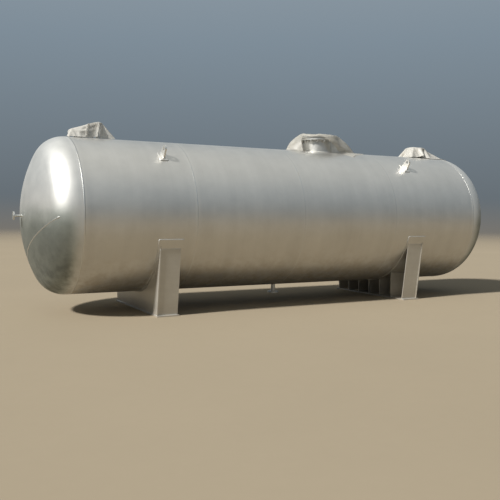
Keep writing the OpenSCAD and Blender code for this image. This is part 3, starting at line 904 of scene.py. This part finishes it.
def skirt_angle(column, share):
    """Direction of a column at a share of the skirt's depth; columns start at the cut's right edge."""
    if column > skirt_columns:
        return radians(192.0 + 46.0 * (column - skirt_columns) / (sectors - skirt_columns))
    hanging = min(share / lies_from, 1.0)
    first = radians(-122.0 + 79.0 * hanging - 5.0 * max(share - lies_from, 0.0) / 0.35)
    last = radians(192.0 + 16.0 * hanging)
    return first + (last - first) * column / skirt_columns


def rim_lift(angle):
    """The film is gathered a little at the left and right of the rim, and stands up there."""
    left = max(cos(angle - radians(190.0)), 0.0) ** 6
    right = max(cos(angle + radians(10.0)), 0.0) ** 6
    return 0.022 * left + 0.016 * right


def skirt_point(angle, share):
    """A point of the skirt before it falls, and its distance along the film from the rim."""
    way, touch = level_way(angle), skirt_touch(angle)
    top = Vector((manway.x, 0.0, rim_z + rim_lift(angle))) + way * rim_r
    foot = on_shell(manway.x + way.x * touch, way.y * touch, 0.006)
    hanging = min(share / lies_from, 1.0)
    length = (foot - top).length * 1.04 * hanging
    if share > lies_from:
        lying = skirt_tail(angle) * (share - lies_from) / 0.35
        return (on_shell(manway.x + way.x * (touch + lying), way.y * (touch + lying), 0.006),
                length + lying)
    bulge = (way + z_way) * 0.03 * sin(pi * hanging)
    return top.lerp(foot, hanging) + bulge, length


print("the skirt reaches", round(skirt_touch(0.0), 2), "to the right")

# %% The manway's film
start, flat, ring_rows = [], [], []
for ring in range(1, inner_rings + outer_rings + 1):
    ring_rows.append(range(len(start), len(start) + sectors))
    for sector in range(sectors):
        share = max(ring - inner_rings, 0) / outer_rings
        angle = skirt_angle(sector, share)
        way = level_way(angle)
        if ring <= inner_rings:
            pulled = 0.018 if ring == inner_rings and sector > skirt_columns else 0.0
            lift = rim_lift(angle) * (ring / inner_rings) ** 3
            point = Vector((manway.x, 0.0, rim_z + lift - pulled)) + way * rim_r * ring / inner_rings
            length = rim_r * ring / inner_rings
        else:
            point, length = skirt_point(angle, share)
            length += rim_r
        start.append(point)
        flat.append((length * way.x, length * way.y))
faces = [list(ring_rows[0])]
for ring, (inner, outer) in enumerate(zip(ring_rows, ring_rows[1:])):
    for sector in range(skirt_columns if ring > inner_rings else sectors):
        after = (sector + 1) % sectors
        faces.append([inner[sector], outer[sector], outer[after], inner[after]])
used = sorted({v for face in faces for v in face})
renumber = {old: new for new, old in enumerate(used)}
start, flat = [start[v] for v in used], [flat[v] for v in used]
faces = [[renumber[v] for v in face] for face in faces]
rim = ring_rows[inner_rings - 1]
taped = [renumber[v] for row in ring_rows[-3:] for i, v in enumerate(row)
         if v in renumber and (i % 12 < 4 or i >= skirt_columns - 3)]
taped += [renumber[v] for v in rim[skirt_columns + 2:-1]]
taped += [renumber[v] for i, v in enumerate(rim[:skirt_columns - 1])
          if rim_lift(skirt_angle(i, 0.0)) > 0.012 and i % 2]

things = [fall_shell(manway.x - 0.9, manway.x + 1.1),
          fall_post("fall_on_cover", manway.x, manway.flange_r, cover_top, low_z=manway.under),
          fall_post("fall_on_neck", manway.x, manway.neck_r, manway.under)]
things += [fall_post("fall_on_bolt", x, 0.019, cover_top + head_height, y, cover_top - 0.01, 0.006)
           for x, y in bolt_places]
fallen = let_fall("manway_fall", start, flat, faces, taped, things, 45)
manway_wrap = film_piece("manway_wrap", fallen, faces, manway_milk)
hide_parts("manway_film")
flat_width, flat_length = [max(p[i] for p in flat) - min(p[i] for p in flat) for i in (0, 1)]
flat_area = sum(abs(sum(flat[a][0] * flat[b][1] - flat[b][0] * flat[a][1]
                        for a, b in zip(face, face[1:] + face[:1]))) / 2 for face in faces)
print("manway film cut", round(flat_width, 3), "x", round(flat_length, 3), "area", round(flat_area, 3))

# %% [markdown]
# The film over the nozzles is a plain sheet, narrower at its ends. Its start bends along the vessel
# only, over the tops of the flanges, so distances along that line are its flat length.

# %% A sheet over nozzles
columns, rows = 52, 40


def ruled_start(profile, half_width, left_taper, rear_left):
    """Start points, flat points, faces and length of a sheet that bends along x only.

    Its rear left corner is cut down to a share, so the film drops steeply at its left end."""
    lengths = [0.0]
    for a, b in zip(profile, profile[1:]):
        lengths.append(lengths[-1] + hypot(b[0] - a[0], b[1] - a[1]))
    start, flat = [], []
    for i in range(columns + 1):
        s, share = lengths[-1] * i / columns, i / columns
        k = max(j for j in range(len(lengths) - 1) if lengths[j] <= s + 1e-9)
        t = (s - lengths[k]) / (lengths[k + 1] - lengths[k])
        x, z = [profile[k][axis] + (profile[k + 1][axis] - profile[k][axis]) * t for axis in (0, 1)]
        half = half_width * (1.0 - 0.25 * max(share - 0.6, 0.0) / 0.4
                             - left_taper * max(0.3 - share, 0.0) / 0.3)
        rear = rear_left + (1.0 - rear_left) * min(share / 0.35, 1.0)
        for j in range(rows + 1):
            v = half * (2 * j / rows - 1)
            v *= rear if v > 0 else 1.0
            start.append(Vector((x, v, z)))
            flat.append((s, v))
    faces = [[i * (rows + 1) + j, (i + 1) * (rows + 1) + j, (i + 1) * (rows + 1) + j + 1,
              i * (rows + 1) + j + 1] for i in range(columns) for j in range(rows)]
    return start, flat, faces, lengths[-1]


def nozzle_film(side, profile, half_width, left_taper, rear_left, taped_spots, things, material):
    """Lets one sheet fall. Its ends are taped, and so are spots given as x, half length, half width."""
    start, flat, faces, length = ruled_start(profile, half_width, left_taper, rear_left)
    taped = [columns * (rows + 1) + j for j in range(8, 33)] + list(range(10, 31))
    taped += [v for v, point in enumerate(start) if v not in taped and any(
        abs(point.x - x) < half_x and abs(point.y) < half_y for x, half_x, half_y in taped_spots)]
    fallen = let_fall(side + "_fall", start, flat, faces, taped, things, 55)
    wrap = film_piece(side + "_wrap", fallen, faces, material)
    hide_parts(side + "_film")
    print(side, "film cut", 2 * half_width, "x", round(length, 3))
    return fallen


print("a sheet has", columns * rows, "cells")

# %% The film over the two left nozzles
left_fallen = nozzle_film(
    "left", [(left_nozzle.x - 0.128, shell_top + 0.006), (left_nozzle.x - 0.115, left_nozzle.face + 0.024),
             (vent.x + 0.012, vent.face + 0.022), (vent.x + 0.064, vent.face + 0.002),
             (vent.x + 0.208, shell_top + 0.007)],
    half_width=0.25, left_taper=0.30, rear_left=0.15,
    taped_spots=[(left_nozzle.x - 0.110, 0.012, 0.06), (vent.x, 0.045, 0.035)],
    things=[fall_shell(left_nozzle.x - 0.30, vent.x + 0.6),
            fall_post("fall_on_left", left_nozzle.x, left_nozzle.flange_r, left_nozzle.face),
            fall_post("fall_on_vent", vent.x, vent.flange_r, vent.face)],
    material=left_milk)

# %% [markdown]
# The left part of that film lies double and ends in a rolled hem that slants down to the left. The
# hem lies on the fallen film, so each point of its path is found along one row of its points.

# %% The rolled hem on the left film
hem_path = []
for j in range(1, rows // 2 - 2):
    line = [left_fallen[i * (rows + 1) + j] for i in range(columns + 1)]
    wanted_x = hem_x - hem_slant * abs(line[20].y)
    a, b = next(pair for pair in zip(line, line[1:]) if pair[0].x <= wanted_x <= pair[1].x)
    hem_path.append(a.lerp(b, (wanted_x - a.x) / (b.x - a.x)))
hem, loops, last = bmesh.new(), [], len(hem_path) - 1
for i, point in enumerate(hem_path):
    ahead = (hem_path[min(i + 1, last)] - hem_path[max(i - 1, 0)]).normalized()
    out = x_way.cross(ahead).normalized()
    if out.z < 0 and abs(out.z) > abs(out.y):
        out = -out
    size = 0.012 * (1.0 + 0.35 * noise.noise(point * 14.0)) * min(1.0, 0.3 + 0.25 * (last - i))
    centre = point + out * size * 0.7
    loops.append([centre + x_way * size * 1.25 * cos(a) + out * size * sin(a) for a in turns(16)])
skin(hem, loops)
solid_piece("left_wrap_hem", hem, left_milk)

# %% The film over the right nozzle
flange_x, flange_z, tail_x = right_nozzle.x, right_nozzle.face, seams[-1] + 0.19
nozzle_film(
    "right", [(flange_x - 0.165, shell_top + 0.006), (flange_x - 0.150, flange_z + 0.006),
              (flange_x - 0.02, flange_z + 0.014), (flange_x, flange_z + 0.002),
              (flange_x + 0.150, flange_z + 0.001), (seams[-1] + 0.05, shell_top + 0.066),
              (tail_x, shell_top - knuckle_drop(tail_x) + 0.008)],
    half_width=0.31, left_taper=0.25, rear_left=0.9, taped_spots=[(seams[-1] + 0.05, 0.02, 0.03)],
    things=[fall_shell(flange_x - 0.45, seams[-1] + 0.26),
            fall_post("fall_on_right", flange_x, right_nozzle.flange_r, flange_z - 0.005),
            fall_post("fall_on_fold", flange_x - 0.06, 0.065, flange_z + 0.006, edge=0.006)],
    material=right_milk)

# %% [markdown]
# ## Floor, light and sky
# Polished metal shows what stands round it: the lower half of the shell mirrors the pale floor, and
# the upper half the sky, a smooth ramp from soft grey at the horizon to near white overhead. The
# sky lights matt surfaces at less than its full strength, which keeps the shadow deep. One sun lamp
# from the left gives the bright patch on the head and the shadow.

# %% The floor
mat, place, x, y, z = begin("pale_floor")
tone = 0.97 + (mat.cloud(place, 0.35, 5.0) - 0.5) * 0.10 + (mat.cloud(place, 9.0) - 0.5) * 0.03
ground = mat.surface(Base_Color=mat.shade(tone, (0.41, 0.345, 0.25)), Roughness=0.9,
                     Specular_IOR_Level=0.2)
far = mat.ramp((x * x + y * y) ** 0.5, 14.0, 44.0)
clear = mat.node("BsdfTransparent")
pale_floor = mat.close(mat.node("MixShader", sockets={0: far, 1: ground, 2: clear}))

disc = bmesh.new()
bmesh.ops.create_circle(disc, cap_ends=True, radius=45.0, segments=96)
floor_data = bpy.data.meshes.new("floor")
disc.to_mesh(floor_data)
disc.free()
floor_data.materials.append(pale_floor)
put("floor", floor_data)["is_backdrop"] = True
print("floor radius 45")

# %% The sky and the sun
matt_share = 0.38
sky = Finish("sky", bpy.data.worlds)
x, y, z = sky.split(sky.node("TexCoord", output="Generated"))
height = sky.node("MapRange", sockets={"Value": z, "From Min": -1.0, "From Max": 1.0}, output="Result")
colour = sky.node("ValToRGB", {"stops": [
    (0.0, (0.20, 0.17, 0.13)), (0.48, (0.20, 0.18, 0.15)), (0.51, (0.135, 0.16, 0.18)),
    (0.62, (0.21, 0.265, 0.315)), (0.78, (0.37, 0.425, 0.47)), (1.0, (0.74, 0.75, 0.72))]}, {0: height})
strength = matt_share
for kind in ["Is Camera Ray", "Is Glossy Ray", "Is Transmission Ray"]:
    strength = strength + sky.node("LightPath", output=kind) * (1.0 - matt_share)
background = sky.node("Background", sockets={"Color": colour, "Strength": strength})
sky.node("OutputWorld", sockets={"Surface": background})
bpy.context.scene.world = sky.block

sun_data = bpy.data.lights.new("sun", "SUN")
tune(sun_data, energy=4.4, angle=radians(5.0), color=(1.0, 0.97, 0.92))
sun = put("sun", sun_data)
sun.rotation_mode = "QUATERNION"
sun.rotation_quaternion = Vector((0.725, 0.170, -0.645)).to_track_quat("-Z", "Y")
bpy.context.scene.view_settings.view_transform = "Standard"
print("sun energy", sun_data.energy)

# %% [markdown]
# ## The sizes
# Both boxes, of the solids and of the whole visual model, are printed side by side.

# %% Print the sizes
visual_box = [list(corner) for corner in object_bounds()]
for label, box in [("cad", cad_box), ("visual", visual_box)]:
    print(label, [[round(v, 3) for v in corner] for corner in box])
